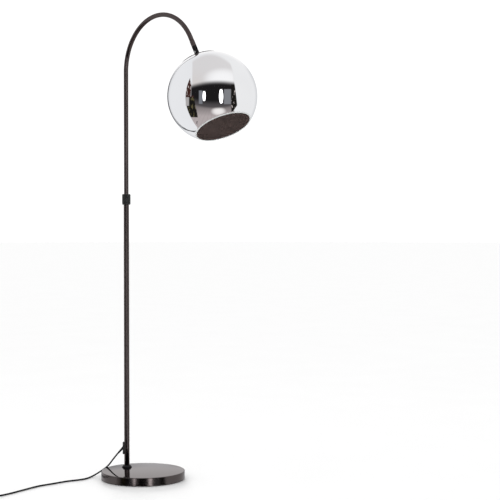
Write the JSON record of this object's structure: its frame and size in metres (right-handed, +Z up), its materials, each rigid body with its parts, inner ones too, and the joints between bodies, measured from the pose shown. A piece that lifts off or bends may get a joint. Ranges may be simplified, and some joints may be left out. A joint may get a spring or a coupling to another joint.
{
  "type": "arc floor lamp",
  "caption": "Floor lamp with a round weighted base, a telescopic pole that bends over in an arc, and a mirrored glass globe on a tilting knuckle.",
  "frame": {"origin": "centre of the base pad's underside, on the floor", "axes": "+Z up, +X horizontally from the pole towards the shade, +Y to the left seen along +X"},
  "size_m": [0.663, 0.9273, 1.634],
  "materials": {
    "black_nickel": "polished black nickel plating",
    "smoked_chrome": "polished smoked chrome",
    "mirrored_glass": "blown glass with a mirror coat and a clear polished rim",
    "chrome": "polished",
    "zinc_steel": "zinc plated",
    "brass": "plain",
    "cast_iron": "as cast",
    "black_steel": "satin black",
    "knurled_black": "matt black, fine diamond knurl",
    "black_plastic": "fine texture",
    "black_pvc": "satin",
    "nylon": "natural",
    "felt": "pressed felt",
    "opal_glass": "opal"
  },
  "bodies": {
    "stand": {"base_pad": "felt", "base_weight": "cast_iron", "base_cover": "black_nickel", "foot_bolt": "zinc_steel", "foot_washer": "zinc_steel", "foot_flange": "black_nickel", "foot_insert": "zinc_steel", "lower_tube": "black_nickel", "cord_outlet": "black_plastic", "strain_relief": "black_pvc", "clamp_body": "zinc_steel", "clamp_ring": "nylon", "column_lead": "black_pvc", "switch_base": "black_plastic", "switch_cover": "black_plastic", "button_spring": "zinc_steel", "cord_run": "black_pvc", "cord_link": "black_pvc", "cord_coil": "black_pvc", "cord_tail": "black_pvc", "plug_body": "black_plastic", "plug_pin_left": "zinc_steel", "plug_pin_right": "zinc_steel"},
    "clamp": {"clamp_collar": "knurled_black"},
    "slider": {"guide_bush": "nylon"},
    "arc": {"arc_tube": "black_nickel", "arc_lead": "black_pvc", "end_fork": "black_nickel", "knuckle_screw": "zinc_steel", "knuckle_nut": "zinc_steel"},
    "shade": {"knuckle_tongue": "black_steel", "knuckle_ring": "chrome", "cap_washer": "black_steel", "nipple": "zinc_steel", "cap_nut": "zinc_steel", "shade_lead": "black_pvc", "shade_cap": "smoked_chrome", "glass_globe": "mirrored_glass", "holder_dome": "black_plastic", "holder_body": "black_plastic", "holder_contact": "brass", "shade_ring": "black_plastic", "bulb_base": "zinc_steel", "bulb_glass": "opal_glass"},
    "foot_button": {"switch_button": "black_plastic"}
  },
  "joints": [
    {"name": "clamp_turn", "type": "hinge", "parent": "stand", "child": "clamp", "pos_m": [-0.09, 0, 0.989], "axis": [0, 0, 1], "range_deg": [0, 180]},
    {"name": "height_slide", "type": "slide", "parent": "stand", "child": "slider", "axis": [0, 0, 1], "range_m": [-0.25, 0.2], "deforming": ["column_lead"]},
    {"name": "arc_swivel", "type": "hinge", "parent": "slider", "child": "arc", "pos_m": [-0.09, 0, 0.535], "axis": [0, 0, 1], "range_deg": [-170, 170]},
    {"name": "shade_tilt", "type": "hinge", "parent": "arc", "child": "shade", "pos_m": [0.28335, 0, 1.48204], "axis": [0, 1, 0], "range_deg": [-40, 40]},
    {"name": "switch_press", "type": "slide", "parent": "stand", "child": "foot_button", "axis": [0, 0, -1], "range_m": [0, 0.002], "stiffness_N_per_m": 500, "deforming": ["button_spring"]}
  ]
}
